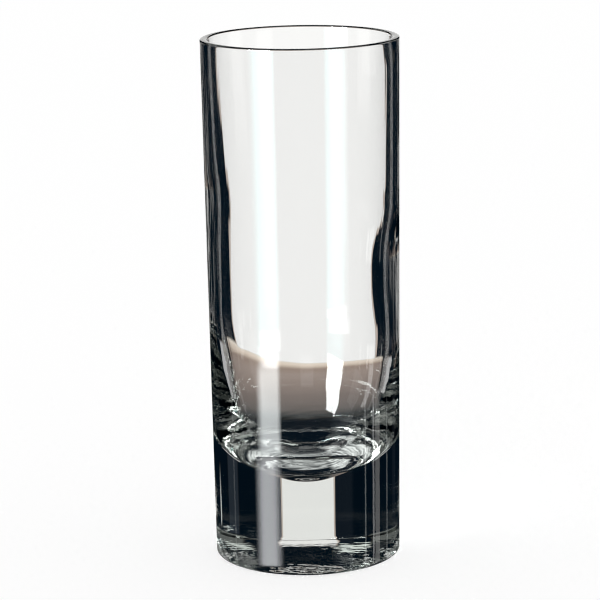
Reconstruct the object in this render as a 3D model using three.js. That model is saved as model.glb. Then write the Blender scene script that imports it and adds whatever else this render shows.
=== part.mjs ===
// Collins glass: a tall, straight drinking glass in one piece of clear glass.
// Millimetres, +Z up. The origin is the centre of the foot, on the plane that the glass stands on.
// The outside is a plain tapered cylinder with a fire-polished rim. The bore was shaped by air, so its
// wall is a little thicker in some places than in others, and it ends in a deep round bowl with a dip
// in its middle, over a heavy solid base. The underside is pushed up, part of a large sphere.
import * as THREE from 'three';

// Outside
const HEIGHT = 160;
const RIM_RADIUS = 30;
const BASE_RADIUS = 28.5;
const HEEL_RADIUS = 1.2;
const RIM_CROWN = 0.5;

// Wall: as thin as this at the rim, and a little thicker further down all round
const RIM_WALL = 2.3;
const BODY_GAIN = 0.3;
const BODY_GAIN_TOP = 150;
const BODY_GAIN_LENGTH = 90;

// Bowl that the bore ends in, a superellipse, and the dip in its middle
const FLOOR_HEIGHT = 27;
const BOWL_DEPTH = 49.5;
const BOWL_POWER = 3;
const DIP_DEPTH = 2.2;
const DIP_RADIUS = 6.5;
const DIP_POWER = 3;

// Foot: a narrow bearing ring round the pushed-up underside
const PUSH_UP_RADIUS = 26.2;
const PUSH_UP_SPHERE = 86;

// Extra glass at the left, -X: a long gather and a swelling on it
const LEFT_GATHER = 0.3;
const LEFT_GATHER_TOP = 158;
const LEFT_GATHER_LENGTH = 48;
const LEFT_SWELL = 0.17;
const LEFT_SWELL_HEIGHT = 109;
const LEFT_SWELL_REACH = 12;

// Right side, +X: thin under the rim, a thick ledge below the middle, then thinner again
const RIGHT_THINNING = 0.19;
const RIGHT_THINNING_LENGTH = 10;
const RIGHT_LEDGE = 0.76;
const RIGHT_LEDGE_TOP = 110;
const RIGHT_LEDGE_LENGTH = 18.6;
const RIGHT_HOLLOW = 0.36;
const RIGHT_HOLLOW_TOP = 86.6;
const RIGHT_HOLLOW_LENGTH = 20.4;
const UNEVEN_HALF_ARC = 75;

// How finely the surfaces are divided
const SEGMENTS = 60;
const PUSH_UP_RINGS = 8;
const HEEL_STEPS = 4;
const RIM_STEPS = 8;
const BORE_RINGS = 20;
const BOWL_RINGS = 24;

const shoulderHeight = HEIGHT - RIM_CROWN;
const bowlTop = FLOOR_HEIGHT + BOWL_DEPTH;

// 0 to 1 along a smooth S, held at its ends
function ease(share) {
  const held = THREE.MathUtils.clamp(share, 0, 1);
  return held * held * (3 - 2 * held);
}

// How much of a gain has come in at a height, going down from its top over its length
function gain(height, top, length) {
  return ease((top - height) / length);
}

// Outside radius of the straight tapered wall at a height
function outerRadius(height) {
  const share = (height - HEEL_RADIUS) / (shoulderHeight - HEEL_RADIUS);
  return THREE.MathUtils.lerp(BASE_RADIUS, RIM_RADIUS, share);
}

// Radius of the bore at a height, before its uneven places
function boreRadius(height) {
  return outerRadius(height) - RIM_WALL - BODY_GAIN * gain(height, BODY_GAIN_TOP, BODY_GAIN_LENGTH);
}

// Extra wall on the left side at a height
function leftExtra(height) {
  const swell = Math.exp(-(((height - LEFT_SWELL_HEIGHT) / LEFT_SWELL_REACH) ** 2));
  return LEFT_GATHER * gain(height, LEFT_GATHER_TOP, LEFT_GATHER_LENGTH) + LEFT_SWELL * swell;
}

// Extra wall on the right side at a height
function rightExtra(height) {
  const thinning = RIGHT_THINNING * gain(height, shoulderHeight, RIGHT_THINNING_LENGTH);
  const ledge = RIGHT_LEDGE * gain(height, RIGHT_LEDGE_TOP, RIGHT_LEDGE_LENGTH);
  const hollow = RIGHT_HOLLOW * gain(height, RIGHT_HOLLOW_TOP, RIGHT_HOLLOW_LENGTH);
  return ledge - thinning - hollow;
}

// Extra wall at any place: each side fades out over its half arc
function extraWall(turn, height) {
  const halfArc = THREE.MathUtils.degToRad(UNEVEN_HALF_ARC);
  const fromRight = Math.abs(Math.atan2(Math.sin(turn), Math.cos(turn)));
  const left = leftExtra(height) * ease(1 - (Math.PI - fromRight) / halfArc);
  const right = rightExtra(height) * ease(1 - fromRight / halfArc);
  return left + right;
}

// Points of an elliptical arc, from one angle to another in degrees, both ends included
function arc(centreRadius, centreHeight, halfWidth, halfHeight, from, to, steps) {
  const curve = new THREE.EllipseCurve(
    centreRadius, centreHeight, halfWidth, halfHeight,
    THREE.MathUtils.degToRad(from), THREE.MathUtils.degToRad(to), to < from,
  );
  return curve.getPoints(steps);
}

// Push-up: a spherical cap that meets the bearing ring at its edge
function undersidePoints() {
  const edge = Math.sqrt(PUSH_UP_SPHERE ** 2 - PUSH_UP_RADIUS ** 2);
  const points = [];
  for (let ring = 0; ring <= PUSH_UP_RINGS; ring += 1) {
    const radius = PUSH_UP_RADIUS * ring / PUSH_UP_RINGS;
    points.push(new THREE.Vector2(radius, Math.sqrt(PUSH_UP_SPHERE ** 2 - radius ** 2) - edge));
  }
  return points;
}

// Outside: the rounded heel, the straight taper and the low crown of the rim
function outsidePoints() {
  const rimHalf = RIM_WALL / 2;
  return [
    ...arc(BASE_RADIUS - HEEL_RADIUS, HEEL_RADIUS, HEEL_RADIUS, HEEL_RADIUS, -90, 0, HEEL_STEPS),
    ...arc(RIM_RADIUS - rimHalf, shoulderHeight, rimHalf, RIM_CROWN, 0, 180, RIM_STEPS),
  ];
}

// Bore: down the wall from under the rim, then round the bowl to the middle of the floor
function borePoints() {
  const points = [];
  for (let ring = 1; ring <= BORE_RINGS; ring += 1) {
    const height = THREE.MathUtils.lerp(shoulderHeight, bowlTop, ring / BORE_RINGS);
    points.push(new THREE.Vector2(boreRadius(height), height));
  }
  for (let ring = 1; ring <= BOWL_RINGS; ring += 1) {
    const turn = Math.PI / 2 * ring / BOWL_RINGS;
    const share = ring < BOWL_RINGS ? Math.cos(turn) ** (2 / BOWL_POWER) : 0;
    const dip = DIP_DEPTH * Math.exp(-((share * boreRadius(bowlTop) / DIP_RADIUS) ** DIP_POWER));
    const height = bowlTop - BOWL_DEPTH * Math.sin(turn) ** (2 / BOWL_POWER) - dip;
    points.push(new THREE.Vector2(share * boreRadius(height), height));
  }
  return points;
}

// The profile turned round the upright axis, with the bore then drawn in where the wall is thicker
function glassGeometry() {
  const shell = [...undersidePoints(), ...outsidePoints()];
  const profile = [...shell, ...borePoints()];
  const geometry = new THREE.LatheGeometry(profile, SEGMENTS);
  geometry.rotateX(Math.PI / 2);
  const position = geometry.attributes.position;
  for (let index = 0; index < position.count; index += 1) {
    if (index % profile.length < shell.length) continue;
    const x = position.getX(index);
    const y = position.getY(index);
    const height = position.getZ(index);
    const share = 1 - extraWall(Math.atan2(y, x), height) / boreRadius(height);
    position.setXY(index, x * share, y * share);
  }
  geometry.computeVertexNormals();
  return geometry;
}

const clearGlass = new THREE.MeshStandardMaterial({
  name: 'clear_glass',
  color: 0xe8f2ee,
  roughness: 0.02,
  metalness: 0,
  transparent: true,
  opacity: 0.35,
});

const glassBody = new THREE.Mesh(glassGeometry(), clearGlass);
glassBody.name = 'glass_body';

const collinsGlass = new THREE.Group();
collinsGlass.name = 'collins_glass';
collinsGlass.add(glassBody);

export default collinsGlass;
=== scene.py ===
# %% [markdown]
# # Collins glass: one piece of clear glass, dressed for the camera
#
# The real object is a tall, straight drinking glass. It is blown into a mould, so its outside is
# an even, slightly tapered cylinder, and air shapes the bore. That is why the bore is a little
# uneven, and why it ends in a soft bowl over a heavy solid base.
#
# Clear glass has no colour of its own to show. What the eye sees is the room, bent by the wall,
# the bowl and the base. So this lesson spends its effort in three places: the exact shape of both
# surfaces, a plain glass material, and a studio for the glass to bend.

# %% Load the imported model
import math

import bpy
import numpy as np
from mathutils import Matrix, Vector

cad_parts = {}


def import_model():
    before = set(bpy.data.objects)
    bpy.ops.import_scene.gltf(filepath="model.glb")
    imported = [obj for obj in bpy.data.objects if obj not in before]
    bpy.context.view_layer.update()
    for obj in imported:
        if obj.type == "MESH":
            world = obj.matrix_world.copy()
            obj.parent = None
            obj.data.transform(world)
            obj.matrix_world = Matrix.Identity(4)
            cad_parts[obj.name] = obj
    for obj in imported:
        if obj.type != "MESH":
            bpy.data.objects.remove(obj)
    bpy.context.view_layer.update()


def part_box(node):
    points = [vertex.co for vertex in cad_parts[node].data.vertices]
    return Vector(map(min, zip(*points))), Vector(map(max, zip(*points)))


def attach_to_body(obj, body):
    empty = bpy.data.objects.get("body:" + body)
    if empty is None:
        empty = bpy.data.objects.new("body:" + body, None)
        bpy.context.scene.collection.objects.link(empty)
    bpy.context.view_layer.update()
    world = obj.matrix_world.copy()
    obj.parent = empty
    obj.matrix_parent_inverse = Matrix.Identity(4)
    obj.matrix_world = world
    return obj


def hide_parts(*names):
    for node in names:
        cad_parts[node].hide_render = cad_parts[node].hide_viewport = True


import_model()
scene = bpy.context.scene

# %% [markdown]
# ## Sizes
#
# Blender works in metres here, but a glassmaker thinks in millimetres. All sizes are written in
# millimetres and the finished mesh is scaled once. The height comes from the CAD solid, so that
# the dressed glass always stands as tall as the part does.

# %% Sizes of the glass, in millimetres
MM = 0.001
low_corner, high_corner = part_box("glass_body")
HEIGHT = (high_corner[2] - low_corner[2]) / MM
RIM_RADIUS = 30.0
BASE_RADIUS = 28.5
HEEL_RADIUS = 1.2
RIM_WALL = 2.3
RIM_CROWN = 0.5
PUSH_UP_RADIUS = 26.2
PUSH_UP_SPHERE = 86.0
FLOOR_HEIGHT = 27.0
BOWL_DEPTH = 49.5
BOWL_POWER = 3.0
DIP_DEPTH = 2.2
DIP_RADIUS = 6.5
DIP_POWER = 3.0

shoulder = HEIGHT - RIM_CROWN
bowl_top = FLOOR_HEIGHT + BOWL_DEPTH
print("height %.2f mm, bowl starts at %.1f mm" % (HEIGHT, bowl_top))

# %% [markdown]
# ## The wall
#
# The wall is thin at the rim and gains a little toward the base. Where the hot gather was cooler,
# the air pushed less and the glass stayed thicker: a long place at the left that gains again low
# down, a shorter one at the right, and a third one low at the back, toward the left. They matter
# more than their tenths of a millimetre suggest, because the dark bands at the sides of a glass
# are the wall itself, magnified, and the one at the back tilts whatever edge is seen through it.
#
# A sculpted displacement could make them, but a thickness written as a function of angle and
# height is easier to check against a ruler, so that is what this lesson does.

# %% Wall thickness at any angle and height
BODY_GAIN = 0.3
BODY_GAIN_TOP = 150.0
BODY_GAIN_LENGTH = 90.0
UNEVEN_HALF_ARC = 75.0

# Each side: its angle from +X, its gains (mm, height where it starts, length down to full),
# and its swellings (mm, height of the middle, reach)
LEFT_SIDE = (180.0, [(0.30, 158.0, 48.0), (0.35, 77.0, 16.0)], [(0.17, 109.0, 12.0)])
RIGHT_SIDE = (0.0, [(-0.19, 159.5, 10.0), (0.76, 110.0, 18.6), (-0.36, 86.6, 20.4)], [])
LEFT_BACK = (150.0, [(0.8, 72.0, 24.0)], [])


def ease(share):
    """0 to 1 along a smooth S, held at its ends"""
    held = np.clip(share, 0, 1)
    return held * held * (3 - 2 * held)


def bell(distance, reach):
    """1 at the middle, near 0 at twice the reach"""
    return np.exp(-((distance / reach) ** 2))


def degrees_from(turn, at_degrees):
    """How far an angle is from a place on the rim, in degrees either way"""
    away = turn - math.radians(at_degrees)
    return np.degrees(np.abs(np.arctan2(np.sin(away), np.cos(away))))


def outer_radius(height):
    share = (height - HEEL_RADIUS) / (shoulder - HEEL_RADIUS)
    return BASE_RADIUS + (RIM_RADIUS - BASE_RADIUS) * share


def wall(turn, height):
    thickness = RIM_WALL + BODY_GAIN * ease((BODY_GAIN_TOP - height) / BODY_GAIN_LENGTH)
    for at, gains, swellings in (LEFT_SIDE, RIGHT_SIDE, LEFT_BACK):
        extra = 0.0
        for amount, top, length in gains:
            extra = extra + amount * ease((top - height) / length)
        for amount, middle, reach in swellings:
            extra = extra + amount * bell(height - middle, reach)
        thickness = thickness + extra * ease(1 - degrees_from(turn, at) / UNEVEN_HALF_ARC)
    return thickness


def bore_radius(turn, height):
    return outer_radius(height) - wall(turn, height)


for name, angle in (("right", 0.0), ("back", math.pi / 2), ("left", math.pi)):
    print("wall at the %s, mid height: %.2f mm" % (name, wall(angle, HEIGHT / 2)))

# %% [markdown]
# ## The profile
#
# A glass is a lathe form, so one half outline carries nearly everything. It runs from the middle
# of the underside out over the push-up and the bearing ring, round the heel, up the wall, over
# the fire-polished rim, down the bore and round the bowl to the middle of the floor.
#
# The push-up is part of a large sphere. It keeps the hot centre off the table, and it makes the
# window seen through the base end in one clean line. The bowl is a superellipse: a circle would
# curve too early, and a flat floor with a small corner would look machined. A small dip in its
# middle is where the last glass ran together.

# %% Points of the half outline, and which surface each belongs to
OUTSIDE, BORE, BOWL, UNDERSIDE = range(4)
BOWL_WALL_RADIUS = 25.5
UNDERSIDE_RINGS = 140
HEEL_RINGS = 12
WALL_RINGS = 40
RIM_RINGS = 25
BORE_RINGS = 160
BOWL_RINGS = 140
UNDER_RIM = 0.25


def underside_points():
    edge = math.sqrt(PUSH_UP_SPHERE ** 2 - PUSH_UP_RADIUS ** 2)
    for radius in np.linspace(0, PUSH_UP_RADIUS, UNDERSIDE_RINGS):
        yield radius, math.sqrt(PUSH_UP_SPHERE ** 2 - radius ** 2) - edge, UNDERSIDE


def outside_points():
    ring_edge = BASE_RADIUS - HEEL_RADIUS
    for turn in np.radians(np.linspace(-90, 0, HEEL_RINGS)):
        yield ring_edge + HEEL_RADIUS * math.cos(turn), HEEL_RADIUS * (1 + math.sin(turn)), OUTSIDE
    for height in [*np.linspace(HEEL_RADIUS, shoulder, WALL_RINGS)[1:-1], shoulder - UNDER_RIM]:
        yield float(outer_radius(height)), height, OUTSIDE
    half = RIM_WALL / 2
    for turn in np.radians(np.linspace(0, 180, RIM_RINGS)):
        radius = RIM_RADIUS - half + half * math.cos(turn)
        yield radius, shoulder + RIM_CROWN * math.sin(turn), OUTSIDE


def bore_points():
    """Here a radius is a share of the bore's radius at that angle and height"""
    for height in np.linspace(shoulder, bowl_top, BORE_RINGS)[1:]:
        yield 1.0, height, BORE
    power = 2 / BOWL_POWER
    for turn in np.linspace(0, math.pi / 2, BOWL_RINGS)[1:]:
        share = max(math.cos(turn), 0.0) ** power
        dip = DIP_DEPTH * math.exp(-abs(share * BOWL_WALL_RADIUS / DIP_RADIUS) ** DIP_POWER)
        yield share, bowl_top - BOWL_DEPTH * math.sin(turn) ** power - dip, BOWL


outline = [*underside_points(), *outside_points(), *bore_points()]
outline[-1] = (0.0, outline[-1][1], BOWL)
print("outline points:", len(outline), "floor at %.2f mm" % outline[-1][1])

# %% [markdown]
# ## Ripples
#
# Pressed and blown glass is never quite smooth. The wall is almost perfect, the bowl has long
# soft waves from the last breath of air, fine upright lines run down the sides of the bore, and
# the underside has the waves of the plate that pushed it up. Real waves have no direction and no
# repeat, so a few sines with random directions and lengths are added up for each kind. The random
# numbers are seeded, so each run gives the same glass.
#
# A bump node could fake this, but bent light needs a real surface, so the mesh itself is moved.

# %% The kinds of wave, in millimetres
WAVES_EACH = 14
WAVE_SPREAD = (0.7, 1.45)

# Each kind: how high it stands, how long it is, its seed, and its stretch along one axis, where
# more than 1 makes it shorter and less than 1 draws it out
BOWL_WAVE = (0.012, 9.0, 3, 6.0)
SIDE_WAVE = (0.016, 8.0, 7, 0.6)
SIDE_FINE_WAVE = (0.007, 2.2, 8, 0.6)
BORE_WAVE = (0.006, 11.0, 11, 0.3)
SIDE_LINES = (0.010, 2.0, 31, 0.03)
UNDERSIDE_WAVE = (0.016, 4.0, 21, 1.6)
UNDERSIDE_FINE_WAVE = (0.006, 1.5, 22, 1.6)

# Where each starts or stops, and over how many millimetres it fades there
BOWL_WAVE_OUTSIDE = (8.0, 4.0)
BOWL_WAVE_BELOW = (42.0, 14.0)
SIDE_WAVE_OUTSIDE = (17.0, 5.0)
SIDE_WAVE_BELOW = (62.0, 22.0)
BORE_WAVE_ABOVE = (30.0, 20.0)
SIDE_LINES_ABOVE = (50.0, 20.0)
RIM_CLEAR_BELOW = (158.0, 10.0)
UNDERSIDE_WAVE_INSIDE = (PUSH_UP_RADIUS, 0.8)

# Half arcs at the two sides, in degrees
SIDE_WAVE_HALF_ARC = 80.0
SIDE_LINES_HALF_ARC = 36.0

# Small knots in the bore: mm inward, angle from +X, height, half arc in degrees, reach up and down
KNOTS = [
    (0.12, 180.0, 113.0, 14.0, 5.0),
    (0.10, 8.0, 108.0, 10.0, 4.0),
    (-0.10, 172.0, 100.0, 10.0, 4.0),
]
print("sines in each kind of wave: %d, knots: %d" % (WAVES_EACH, len(KNOTS)))


# %% How far each point stands off along the surface
def past(value, start, fade):
    """0 up to the start, 1 when the fade is over"""
    return ease((value - start) / fade)


def before(value, stop, fade):
    """1 until the fade begins, 0 from the stop on"""
    return ease((stop - value) / fade)


def waves(places, length, seed):
    rng = np.random.default_rng(seed)
    total = np.zeros(places.shape[:-1])
    for _ in range(WAVES_EACH):
        direction = rng.normal(size=3)
        direction /= np.linalg.norm(direction)
        turns = 2 * math.pi / length * rng.uniform(*WAVE_SPREAD)
        total += np.sin(places @ (direction * turns) + rng.uniform(0, 2 * math.pi))
    return total / math.sqrt(WAVES_EACH / 2)


def ripples(places, along, kinds):
    x, y, z = places[..., 0], places[..., 1], places[..., 2]
    radius = np.hypot(x, y)
    turn = np.arctan2(y, x)
    inside = np.isin(kinds, (BORE, BOWL))[:, None] * np.ones_like(z)
    under = (kinds == UNDERSIDE)[:, None] * np.ones_like(z)
    run = along[:, None] * np.ones_like(z)
    from_side = np.minimum(degrees_from(turn, 0.0), degrees_from(turn, 180.0))

    amount, length, seed, stretch = BOWL_WAVE
    mask = past(radius, *BOWL_WAVE_OUTSIDE) * before(z, *BOWL_WAVE_BELOW) * inside
    total = amount * mask * waves(np.stack([run * stretch, x, y], -1), length, seed)
    for amount, length, seed, stretch in (SIDE_WAVE, SIDE_FINE_WAVE):
        mask = before(z, *SIDE_WAVE_BELOW) * past(radius, *SIDE_WAVE_OUTSIDE) * inside
        mask = mask * ease(1 - from_side / SIDE_WAVE_HALF_ARC)
        total += amount * mask * waves(np.stack([x, y, z * stretch], -1), length, seed)
    amount, length, seed, stretch = BORE_WAVE
    mask = past(z, *BORE_WAVE_ABOVE) * before(z, *RIM_CLEAR_BELOW) * inside
    total += amount * mask * waves(np.stack([x, y, z * stretch], -1), length, seed)
    for amount, length, seed, stretch in (UNDERSIDE_WAVE, UNDERSIDE_FINE_WAVE):
        mask = before(radius, *UNDERSIDE_WAVE_INSIDE) * under
        total += amount * mask * waves(np.stack([x, y * stretch, z], -1), length, seed)
    amount, length, seed, stretch = SIDE_LINES
    mask = ease(1 - from_side / SIDE_LINES_HALF_ARC) * past(z, *SIDE_LINES_ABOVE)
    mask = mask * before(z, *RIM_CLEAR_BELOW) * inside
    total += amount * mask * waves(np.stack([x, y, z * stretch], -1), length, seed)
    for amount, at, middle, half_arc, reach in KNOTS:
        total += amount * bell(degrees_from(turn, at), half_arc) * bell(z - middle, reach) * inside
    return total


# %% [markdown]
# ## The mesh
#
# The outline is turned round the upright axis. A Screw modifier would do that, but then the bore
# could not vary with the angle, so the rings are placed by numpy and joined by faces here. The
# middle of the underside and the middle of the floor are single points.

# %% Turn the outline into a closed mesh
SEGMENTS = 360
NEVER_ZERO = 1e-9


def glass_points():
    """Every ring of the glass: rings by segments by xyz, in metres"""
    radii, heights, kinds = (np.array(column) for column in zip(*outline))
    turns = np.arange(SEGMENTS) * 2 * math.pi / SEGMENTS
    radius = np.repeat(radii[:, None], SEGMENTS, axis=1)
    height = np.repeat(heights[:, None], SEGMENTS, axis=1)
    turn = np.repeat(turns[None, :], len(radii), axis=0)
    inner = np.isin(kinds, (BORE, BOWL))[:, None]
    radius = np.where(inner, bore_radius(turn, height) * radius, radius)
    places = np.stack([radius * np.cos(turn), radius * np.sin(turn), height], -1)

    radial = np.gradient(radius, axis=0)
    upward = np.gradient(height, axis=0)
    length = np.hypot(radial, upward) + NEVER_ZERO
    outward_r, outward_z = upward / length, -radial / length
    steps = np.hypot(np.diff(radius[:, 0]), np.diff(heights))
    along = np.concatenate([[0], np.cumsum(steps)])
    lift = ripples(places, along[-1] - along, kinds)
    lift[0] = lift[0].mean()
    lift[-1] = lift[-1].mean()
    normals = np.stack([outward_r * np.cos(turn), outward_r * np.sin(turn), outward_z], -1)
    return (places + lift[..., None] * normals) * MM


def lathe_mesh(name, rings):
    """A closed mesh from rings whose first and last are single points"""
    middle = rings[1:-1].reshape(-1, 3)
    points = [rings[0, 0], *middle, rings[-1, 0]]
    ring_count = len(rings) - 2
    last = len(points) - 1
    faces = []
    for here in range(SEGMENTS):
        after = (here + 1) % SEGMENTS
        faces.append((0, 1 + after, 1 + here))
        for ring in range(ring_count - 1):
            low = 1 + ring * SEGMENTS
            high = low + SEGMENTS
            faces.append((low + here, low + after, high + after, high + here))
        top = 1 + (ring_count - 1) * SEGMENTS
        faces.append((top + here, top + after, last))
    mesh = bpy.data.meshes.new(name)
    mesh.from_pydata([tuple(point) for point in points], [], faces)
    mesh.shade_smooth()
    return mesh


glass = bpy.data.objects.new("fine_glass_body", lathe_mesh("fine_glass_body", glass_points()))
scene.collection.objects.link(glass)
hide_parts("glass_body")
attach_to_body(glass, "root")
print("glass faces:", len(glass.data.polygons))

# %% [markdown]
# ## The glass
#
# Clear soda-lime glass bends light by an index of 1.52 and takes a little out of it, more red
# than green, which is why the thick base looks faintly green at its edges and the thin wall
# doesn't. The surface is fire polished, so its roughness is nothing at all. The colour belongs
# inside the glass as volume absorption, so thickness alone decides how much of it shows.

# %% Glass material
GLASS_INDEX = 1.52
GLASS_COLOUR = (0.56, 0.59, 0.545, 1)
GLASS_DENSITY = 10.0


def glass_material():
    material = bpy.data.materials.new("clear_glass")
    material.use_nodes = True
    nodes = material.node_tree.nodes
    surface = nodes["Principled BSDF"]
    surface.inputs["Base Color"].default_value = (1, 1, 1, 1)
    surface.inputs["Roughness"].default_value = 0.0
    surface.inputs["IOR"].default_value = GLASS_INDEX
    surface.inputs["Transmission Weight"].default_value = 1.0
    inside = nodes.new("ShaderNodeVolumeAbsorption")
    inside.inputs["Color"].default_value = GLASS_COLOUR
    inside.inputs["Density"].default_value = GLASS_DENSITY
    output = nodes["Material Output"]
    material.node_tree.links.new(inside.outputs["Volume"], output.inputs["Volume"])
    return material


glass.data.materials.append(glass_material())
print("glass index", GLASS_INDEX)

# %% [markdown]
# ## The studio
#
# Glass is lit by what stands behind it. A photographer puts a bright window straight behind the
# glass and leaves the rest of the room dark: the window fills the bore with light, and the dark
# room draws the edges. A long softbox behind the camera's left shoulder lays two upright
# highlights on the wall. Below the window the table begins, warm and then dark.
#
# All this could be built from lamps and cards, but they would have to be aimed and they would
# shade each other. The world can hold the same room as a function of direction: azimuth from
# straight back (+Y) toward the right (+X), and elevation above the table. Only glossy and
# transmitted rays see that room. The camera itself sees white, and the floor is lit evenly.

# %% World nodes: azimuth and elevation of each direction
world = bpy.data.worlds.new("studio")
scene.world = world
world.use_nodes = True
tree = world.node_tree
tree.nodes.clear()


def attach(value, socket):
    """Feed a socket from a link or a plain number"""
    if isinstance(value, (int, float, tuple)):
        socket.default_value = value
    else:
        tree.links.new(value, socket)


def calculate(operation, *values):
    node = tree.nodes.new("ShaderNodeMath")
    node.operation = operation
    for value, socket in zip(values, node.inputs):
        attach(value, socket)
    return node.outputs[0]


def vector(operation, first, second=None, scale=None):
    node = tree.nodes.new("ShaderNodeVectorMath")
    node.operation = operation
    attach(first, node.inputs[0])
    if second is not None:
        attach(second, node.inputs[1])
    if scale is not None:
        attach(scale, node.inputs["Scale"])
    return node.outputs[0]


place = tree.nodes.new("ShaderNodeTexCoord")
parts = tree.nodes.new("ShaderNodeSeparateXYZ")
tree.links.new(place.outputs["Generated"], parts.inputs[0])
DEGREES = 180 / math.pi
azimuth = calculate("MULTIPLY", calculate("ARCTAN2", parts.outputs[0], parts.outputs[1]), DEGREES)
elevation = calculate("MULTIPLY", calculate("ARCSINE", parts.outputs[2]), DEGREES)
print("world nodes so far:", len(tree.nodes))

# %% [markdown]
# ### A card of light
#
# A photographer's card, window or softbox is a bright rectangle with soft edges. Here it is a
# range of azimuth times a range of elevation, each with a smooth step at its ends, times a colour.

# %% One soft-edged card of light in the world
LEAN_FROM = 10.0
SOFT_ACROSS = (0.8, 0.8)
CRISP = (0.3, 0.3)


def rise(value, at, soft, falls=False):
    """0 to 1 across a soft edge, or 1 to 0"""
    node = tree.nodes.new("ShaderNodeMapRange")
    node.interpolation_type = "SMOOTHSTEP"
    attach(value, node.inputs["Value"])
    node.inputs["From Min"].default_value = at - soft / 2
    node.inputs["From Max"].default_value = at + soft / 2
    node.inputs["To Min"].default_value = 1.0 if falls else 0.0
    node.inputs["To Max"].default_value = 0.0 if falls else 1.0
    return node.outputs[0]


def between(value, low, high, low_soft, high_soft):
    return calculate("MULTIPLY", rise(value, low, low_soft), rise(value, high, high_soft, True))


def card(middle, half, low, high, strength, colour=(1, 1, 1), edge=SOFT_ACROSS, end=1.0, lean=0.0):
    """Lean moves the card's middle to the right by so many degrees per degree above LEAN_FROM"""
    away = calculate("SUBTRACT", azimuth, middle)
    if lean:
        above = calculate("MAXIMUM", calculate("SUBTRACT", elevation, LEAN_FROM), 0.0)
        away = calculate("SUBTRACT", away, calculate("MULTIPLY", above, lean))
    away = calculate("WRAP", away, 180.0, -180.0)
    across = between(away, -half, half, *edge)
    upright = between(elevation, low, high, end, end)
    level = calculate("MULTIPLY", calculate("MULTIPLY", across, upright), strength)
    return vector("SCALE", colour, scale=level)


# %% [markdown]
# ### Thin lights and panels
#
# The thin upright lights at the sides are gaps in the blackout that draw fine lines down the
# base, and a lower one at the right lights the heel. Further windows stand at the other sides, so
# that the glass reads as well when one walks round it. Dim panels, and the faint floor and ceiling
# of the room, give the bowl its soft greys. The last two thin lights are wider, dim and bluish.

# %% Thin lights, side windows and dim panels
CYAN_WHITE = (0.95, 1.0, 1.0)
CREAM_WHITE = (1.0, 1.0, 0.98)
GREEN_WHITE = (0.93, 1.0, 0.95)

# Azimuth of the middle, half width, lowest and highest elevation, strength, colour, soft edges
THIN_LIGHTS = [
    (82.4, 4.2, -22.0, -15.2, 1.3, (1.0, 1.0, 0.97), SOFT_ACROSS),
    (81.8, 4.2, -42.0, -20.5, 2.2, (1.0, 1.0, 1.0), SOFT_ACROSS),
    (89.6, 1.5, -22.0, -15.2, 2.2, (1.0, 1.0, 1.0), SOFT_ACROSS),
    (103.0, 1.0, -22.0, -15.2, 1.6, CYAN_WHITE, SOFT_ACROSS),
    (62.6, 1.2, -22.0, -15.2, 0.8, CYAN_WHITE, SOFT_ACROSS),
    (-78.0, 1.2, -22.0, -15.2, 0.5, CYAN_WHITE, SOFT_ACROSS),
    (43.0, 5.5, -17.5, -13.5, 0.03, (0.75, 1.0, 1.35), (2.0, 2.0)),
    (135.0, 13.0, -28.0, -14.6, 0.12, (0.85, 1.0, 1.2), (6.0, 6.0)),
]

# The same, and a soft end
PANELS = [
    (48.0, 17.0, -4.0, 20.0, 0.15, GREEN_WHITE, (4.0, 4.0), 3.0),
    (-48.0, 17.0, -4.0, 20.0, 0.15, GREEN_WHITE, (4.0, 4.0), 3.0),
    (41.0, 15.0, 20.0, 30.0, 0.75, GREEN_WHITE, (4.0, 4.0), 3.0),
    (-22.0, 9.0, 22.0, 38.0, 0.9, GREEN_WHITE, (4.0, 4.0), 3.0),
    (180.0, 142.0, -76.0, -47.0, 0.13, CREAM_WHITE, (10.0, 10.0), 4.0),
    (180.0, 118.0, 14.0, 37.0, 0.22, (0.95, 1.0, 0.98), (10.0, 10.0), 4.0),
]

# Azimuth of the middle, lowest and highest elevation, strength
SIDE_WINDOWS = [
    (90.0, -8.0, 14.0, 0.7),
    (-90.0, -8.0, 14.0, 0.7),
    (180.0, -4.5, 14.0, 0.9),
    (135.0, -14.6, -5.0, 0.7),
    (45.0, -33.0, -19.0, 0.6),
    (-45.0, -33.0, -19.0, 0.6),
]
SIDE_WINDOW_HALF = 11.0

cards = [card(*values) for values in THIN_LIGHTS + PANELS]
for middle, low, high, strength in SIDE_WINDOWS:
    cards.append(card(middle, SIDE_WINDOW_HALF, low, high, strength, edge=CRISP))
print("thin lights, panels and side windows:", len(cards))

# %% [markdown]
# ### The window and the softbox
#
# The window straight behind the glass is narrow, because a drinking glass shrinks the room behind
# it. Its warm fringe is the frame round it. The softbox behind the camera's left shoulder is
# graded from top to bottom, as a real one is: four cards, one above the other.

# %% Window with its frame, and the softbox in four parts
WINDOW_LEFT, WINDOW_RIGHT = -11.45, 10.9
WINDOW_LOW, WINDOW_HIGH = -18.8, 18.0
WINDOW_LEVEL = 1.04
WINDOW_COLOUR = (1.0, 1.0, 0.985)
FRAME_SIDE = 0.6
FRAME_BELOW = 0.1
FRAME_LEVEL = 0.62
FRAME_COLOUR = (1.0, 0.86, 0.76)
WINDOW_END = 0.4

# Azimuth of the middle, half width, lowest and highest elevation, strength, colour, soft edges,
# soft end, lean
SOFTBOX_PARTS = [
    (-132.7, 13.6, -6.0, 42.0, 27.0, CYAN_WHITE, (1.0, 1.0), 1.0, 0.42),
    (-134.6, 12.9, -14.7, -5.0, 2.6, (0.5, 1.0, 1.02), (7.0, 12.0), 0.5),
    (-134.6, 12.9, -16.6, -14.7, 11.4, CYAN_WHITE, (7.0, 12.0), 0.5),
    (-131.0, 12.4, -20.9, -16.6, 8.6, (0.98, 1.0, 1.03), (15.0, 15.0), 0.8),
]

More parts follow.
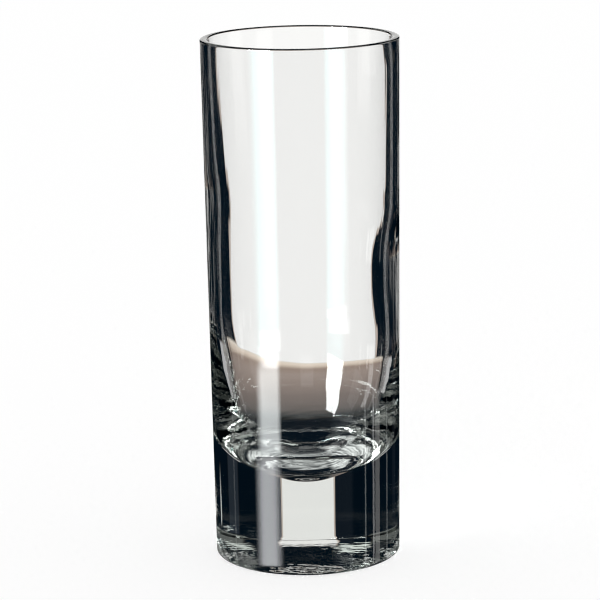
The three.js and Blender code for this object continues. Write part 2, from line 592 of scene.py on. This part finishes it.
window_middle = (WINDOW_LEFT + WINDOW_RIGHT) / 2
window_half = (WINDOW_RIGHT - WINDOW_LEFT) / 2
frame_half = window_half + FRAME_SIDE
frame_low = WINDOW_LOW - FRAME_BELOW
pane = (window_middle, window_half, WINDOW_LOW, WINDOW_HIGH, WINDOW_LEVEL, WINDOW_COLOUR)
fringe = (window_middle, frame_half, frame_low, WINDOW_HIGH, FRAME_LEVEL, FRAME_COLOUR)
window_cards = [card(*pane, CRISP, WINDOW_END), card(*fringe, CRISP, WINDOW_END)]
softbox_cards = [card(*values) for values in SOFTBOX_PARTS]
print("window %.1f degrees wide, softbox parts %d" % (2 * window_half, len(softbox_cards)))

# %% [markdown]
# ### The table
#
# Seen through the glass, the table starts as a bright warm edge just under the window and falls
# to black toward the viewer. A colour ramp over elevation gives that fall, and it lies only
# behind the glass, so that the sides stay dark.

# %% Table below the window
# Elevation in degrees, and the colour there
TABLE_STOPS = [
    (-50.0, (0.0, 0.0, 0.0)),
    (-44.0, (0.07, 0.075, 0.075)),
    (-38.5, (0.17, 0.155, 0.145)),
    (-29.0, (0.24, 0.20, 0.18)),
    (-21.3, (0.38, 0.31, 0.27)),
    (-20.0, (0.36, 0.28, 0.23)),
    (-19.3, (0.80, 0.68, 0.56)),
    (-18.7, (0.90, 0.82, 0.72)),
    (-18.4, (0.0, 0.0, 0.0)),
]
TABLE_HALF = 17.0
TABLE_EDGE = 4.0
RAMP_SPAN = 60.0


def table():
    ramp = tree.nodes.new("ShaderNodeValToRGB")
    attach(calculate("DIVIDE", calculate("ADD", elevation, RAMP_SPAN), RAMP_SPAN), ramp.inputs[0])
    stops = ramp.color_ramp.elements
    stops.remove(stops[1])
    for index, (height, colour) in enumerate(TABLE_STOPS):
        stop = stops[0] if index == 0 else stops.new(1.0)
        stop.position = (height + RAMP_SPAN) / RAMP_SPAN
        stop.color = (*colour, 1.0)
    behind = between(azimuth, -TABLE_HALF, TABLE_HALF, TABLE_EDGE, TABLE_EDGE)
    return vector("SCALE", ramp.outputs[0], scale=behind)


print("table stops:", len(TABLE_STOPS))

# %% [markdown]
# ### Light that goes round and round
#
# In thick glass some light is reflected inside several times before it comes out. On the real
# glass small flaws break that light up into thin glints, and the smooth form of this lesson would
# show it as broad white patches. Light Path's Glossy Depth counts the reflections, so the softbox
# and the window are dimmed for rays that were reflected twice or more. It is a lighting choice,
# made in the world, and it leaves the glass itself alone.

# %% The whole room, dimmed for rays that were reflected often
ROOM_DARK = (0.0012, 0.005, 0.010)
TWICE = 1.5
OFTEN = 3.5
SOFTBOX_SHARES = (0.03, 0.4)
WINDOW_SHARES = (0.515, 0.515)

light_path = tree.nodes.new("ShaderNodeLightPath")
reflections = light_path.outputs["Glossy Depth"]


def brightest(*lights):
    result = lights[0]
    for light in lights[1:]:
        result = vector("MAXIMUM", result, light)
    return result


def dimmed(light, after_two, after_four):
    """The share of a light that is left after two reflections or three, and after four or more"""
    twice = calculate("MULTIPLY", calculate("GREATER_THAN", reflections, TWICE), 1.0 - after_two)
    again = calculate("GREATER_THAN", reflections, OFTEN)
    often = calculate("MULTIPLY", again, after_four - after_two)
    share = calculate("ADD", calculate("SUBTRACT", 1.0, twice), often)
    return vector("SCALE", light, scale=share)


window = dimmed(brightest(*window_cards), *WINDOW_SHARES)
softbox = dimmed(brightest(*softbox_cards), *SOFTBOX_SHARES)
room = brightest(table(), *cards, window, softbox, ROOM_DARK)
print("lights in the room:", len(cards) + len(window_cards) + len(softbox_cards))

# %% [markdown]
# ### Which ray sees what
#
# Light Path tells the rays apart. A camera ray that misses the glass sees plain white. Rays that
# the glass reflected or let through see the room. All others only light the floor, evenly.

# %% Join white, room and floor light
FLOOR_LIGHT = 1.0


def background(colour, strength=1.0):
    node = tree.nodes.new("ShaderNodeBackground")
    attach(colour, node.inputs["Color"])
    node.inputs["Strength"].default_value = strength
    return node.outputs[0]


def choose(share, first, second):
    node = tree.nodes.new("ShaderNodeMixShader")
    attach(share, node.inputs[0])
    tree.links.new(first, node.inputs[1])
    tree.links.new(second, node.inputs[2])
    return node.outputs[0]


WHITE = (1.0, 1.0, 1.0, 1.0)
mirrored = light_path.outputs["Is Glossy Ray"]
let_through = light_path.outputs["Is Transmission Ray"]
from_glass = calculate("MAXIMUM", mirrored, let_through)
unseen = choose(from_glass, background(WHITE, FLOOR_LIGHT), background(room))
shown = choose(light_path.outputs["Is Camera Ray"], unseen, background(WHITE))
output = tree.nodes.new("ShaderNodeOutputWorld")
tree.links.new(shown, output.inputs["Surface"])
print("world nodes:", len(tree.nodes))

# %% [markdown]
# ## The floor
#
# A plain white floor carries the glass's soft shadow and nothing else. It is a diffuse sheet with
# some light of its own, so that it reads as white paper. It lies a little under the glass, so that
# the two surfaces don't touch. Rays from the glass pass through it, because the studio above
# already holds the table.

# %% Floor sheet, in metres
FLOOR_HALF = 6.0
FLOOR_DROP = 0.0003
FLOOR_GLOW = 0.75
FLOOR_WHITE = (0.985, 0.985, 0.985, 1.0)


def floor_material():
    material = bpy.data.materials.new("white_floor")
    material.use_nodes = True
    nodes = material.node_tree.nodes
    links = material.node_tree.links
    nodes.clear()
    paper = nodes.new("ShaderNodeBsdfDiffuse")
    paper.inputs["Color"].default_value = FLOOR_WHITE
    glow = nodes.new("ShaderNodeEmission")
    clear = nodes.new("ShaderNodeBsdfTransparent")
    rays = nodes.new("ShaderNodeLightPath")
    bent = nodes.new("ShaderNodeMath")
    bent.operation = "MAXIMUM"
    links.new(rays.outputs["Is Glossy Ray"], bent.inputs[0])
    links.new(rays.outputs["Is Transmission Ray"], bent.inputs[1])
    lit = nodes.new("ShaderNodeMixShader")
    lit.inputs[0].default_value = FLOOR_GLOW
    links.new(paper.outputs[0], lit.inputs[1])
    links.new(glow.outputs[0], lit.inputs[2])
    seen = nodes.new("ShaderNodeMixShader")
    links.new(bent.outputs[0], seen.inputs[0])
    links.new(lit.outputs[0], seen.inputs[1])
    links.new(clear.outputs[0], seen.inputs[2])
    end = nodes.new("ShaderNodeOutputMaterial")
    links.new(seen.outputs[0], end.inputs["Surface"])
    return material


def flat_piece(name, places, drop, material):
    """One flat face at a depth below the table's plane"""
    mesh = bpy.data.meshes.new(name)
    mesh.from_pydata([(x, y, -drop) for x, y in places], [], [tuple(range(len(places)))])
    mesh.materials.append(material)
    piece = bpy.data.objects.new(name, mesh)
    scene.collection.objects.link(piece)
    return piece


corners = [(-1, -1), (1, -1), (1, 1), (-1, 1)]
floor_corners = [(x * FLOOR_HALF, y * FLOOR_HALF) for x, y in corners]
flat_piece("floor", floor_corners, FLOOR_DROP, floor_material())
print("floor %.0f m wide, %.1f mm under the foot" % (2 * FLOOR_HALF, FLOOR_DROP / MM))

# %% [markdown]
# ### The floor right under the foot, with painted light and shadow
#
# Some rays leave the glass through its underside. What they meet there is the bit of table that
# the glass stands on, not the room, so a round patch lies inside the bearing ring and stops them.
# Its light and shade are painted: the patch glows silver at the front of the foot and at its two
# sides, where light would creep in under it, and the rest is painted dark as the shadow of the
# base. Through the bowl it is the silver ring round the dark oval. Noise that is stretched from
# side to side breaks the painted light into streaky lines, standing in for what the waves in real
# glass do to light. The patch is an emission, so its level doesn't depend on what little light
# reaches it.

# %% Floor patch under the foot, with painted light and shadow, in millimetres
PATCH_RADIUS = 25.9
PATCH_DROP = 0.05
PATCH_SIDES = 96
# The lit colour is painted light and the shadow colour is painted shadow, both given out by the
# patch
PATCH_LIT = (0.816, 0.85, 0.8415, 1.0)
PATCH_SHADOW = (0.0035, 0.008, 0.014, 1.0)

# Where the painted light fades into painted shadow, from and to: front along Y, sides along X
FRONT_FADE = (-9.0, 0.0)
FRONT_SHARE = 0.5
LEFT_FADE = (-22.0, -16.0)
RIGHT_FADE = (11.0, 17.0)

# Painted streak lines of light per metre along X, Y and Z, and the noise range that becomes a
# range of light levels
PAINTED_STREAKS = (90.0, 450.0, 1.0)
PAINTED_STREAK_NOISE = (0.35, 0.65)
PAINTED_STREAK_LEVELS = (0.35, 1.6)

# The colour sockets of a Mix node, which has others of the same name
MIX_FIRST, MIX_SECOND, MIX_RESULT = 6, 7, 2


def patch_material():
    material = bpy.data.materials.new("painted_light_under_foot")
    material.use_nodes = True
    nodes = material.node_tree.nodes
    links = material.node_tree.links
    nodes.clear()

    def mapped(value, low, high, to_low, to_high):
        node = nodes.new("ShaderNodeMapRange")
        node.interpolation_type = "SMOOTHSTEP"
        links.new(value, node.inputs["Value"])
        node.inputs["From Min"].default_value = low
        node.inputs["From Max"].default_value = high
        node.inputs["To Min"].default_value = to_low
        node.inputs["To Max"].default_value = to_high
        return node.outputs[0]

    def combined(operation, first, second):
        node = nodes.new("ShaderNodeMath")
        node.operation = operation
        links.new(first, node.inputs[0])
        links.new(second, node.inputs[1])
        return node.outputs[0]

    where = nodes.new("ShaderNodeTexCoord")
    split = nodes.new("ShaderNodeSeparateXYZ")
    links.new(where.outputs["Object"], split.inputs[0])
    # Painted light at the front and the two sides, painted shadow of the base toward the back
    backward = mapped(split.outputs[1], FRONT_FADE[0] * MM, FRONT_FADE[1] * MM, 0.0, 1.0)
    front = mapped(backward, 0.0, 1.0, FRONT_SHARE, 0.0)
    left = mapped(split.outputs[0], LEFT_FADE[0] * MM, LEFT_FADE[1] * MM, 1.0, 0.0)
    right = mapped(split.outputs[0], RIGHT_FADE[0] * MM, RIGHT_FADE[1] * MM, 0.0, 1.0)
    painted_light_share = combined("MAXIMUM", front, combined("MAXIMUM", left, right))

    # Painted streak lines of light, standing in for what the waves in real glass do to light
    stretch = nodes.new("ShaderNodeVectorMath")
    stretch.operation = "MULTIPLY"
    links.new(where.outputs["Object"], stretch.inputs[0])
    stretch.inputs[1].default_value = PAINTED_STREAKS
    noise = nodes.new("ShaderNodeTexNoise")
    noise.inputs["Scale"].default_value = 1.0
    links.new(stretch.outputs[0], noise.inputs["Vector"])
    painted_streaks = mapped(noise.outputs["Fac"], *PAINTED_STREAK_NOISE, *PAINTED_STREAK_LEVELS)

    blend = nodes.new("ShaderNodeMix")
    blend.data_type = "RGBA"
    blend.clamp_factor = False
    links.new(combined("MULTIPLY", painted_light_share, painted_streaks), blend.inputs["Factor"])
    blend.inputs[MIX_FIRST].default_value = PATCH_SHADOW
    blend.inputs[MIX_SECOND].default_value = PATCH_LIT
    # The painted light and shadow glow as an emission, lit by no lamp
    glow = nodes.new("ShaderNodeEmission")
    links.new(blend.outputs[MIX_RESULT], glow.inputs["Color"])
    end = nodes.new("ShaderNodeOutputMaterial")
    links.new(glow.outputs[0], end.inputs["Surface"])
    return material


turns = [index * 2 * math.pi / PATCH_SIDES for index in range(PATCH_SIDES)]
patch_places = [
    (math.cos(turn) * PATCH_RADIUS * MM, math.sin(turn) * PATCH_RADIUS * MM) for turn in turns
]
patch = flat_piece("painted_light_under_foot", patch_places, PATCH_DROP * MM, patch_material())
print("patch %.1f mm across, %d sides" % (2 * PATCH_RADIUS, len(patch.data.vertices)))

# %% [markdown]
# ## The camera
#
# The camera stands 0.83 m in front of the glass and looks 12 degrees down on it with a long lens,
# which keeps the sides of the glass nearly parallel. It is turned from three given angles,
# because a Track To constraint could not hold its slight roll.

# %% Camera
CAMERA_BACK = 0.8332
CAMERA_HEIGHT = 0.2630
PITCH_DOWN = math.radians(12.442)
YAW = math.radians(-0.084)
ROLL = math.radians(-1.009)
FOCAL_PIXELS = 2790.3
IMAGE_WIDTH = 600
SENSOR_WIDTH = 36.0

forward = Vector((
    math.sin(YAW) * math.cos(PITCH_DOWN),
    math.cos(YAW) * math.cos(PITCH_DOWN),
    -math.sin(PITCH_DOWN),
))
level_right = Vector((math.cos(YAW), -math.sin(YAW), 0.0))
level_up = level_right.cross(forward)
right = level_right * math.cos(ROLL) + level_up * math.sin(ROLL)
up = level_up * math.cos(ROLL) - level_right * math.sin(ROLL)

camera_data = bpy.data.cameras.new("camera")
camera_data.sensor_width = SENSOR_WIDTH
camera_data.lens = FOCAL_PIXELS / IMAGE_WIDTH * SENSOR_WIDTH
camera = bpy.data.objects.new("camera", camera_data)
camera.matrix_world = Matrix.Translation((0, -CAMERA_BACK, CAMERA_HEIGHT)) @ Matrix((
    (right.x, up.x, -forward.x, 0),
    (right.y, up.y, -forward.y, 0),
    (right.z, up.z, -forward.z, 0),
    (0, 0, 0, 1),
))
scene.collection.objects.link(camera)
scene.camera = camera
print("lens %.1f mm" % camera_data.lens)

# %% [markdown]
# ## Finish
#
# Light crosses four or more glass surfaces on its way through and may be reflected inside as
# well, so the path length is raised from the usual twelve. Very bright indirect light is held to
# a limit, which keeps single white specks away, and the pixel filter is a little crisper than
# usual. The colours go to the picture unchanged, with the Standard view.

LONGEST_PATH = 24
MOST_REFLECTIONS = 16
BRIGHTEST_INDIRECT = 30.0
PIXEL_FILTER = 1.1

scene.view_settings.view_transform = "Standard"
scene.cycles.max_bounces = LONGEST_PATH
scene.cycles.transmission_bounces = LONGEST_PATH
scene.cycles.glossy_bounces = MOST_REFLECTIONS
scene.cycles.sample_clamp_indirect = BRIGHTEST_INDIRECT
scene.cycles.filter_width = PIXEL_FILTER
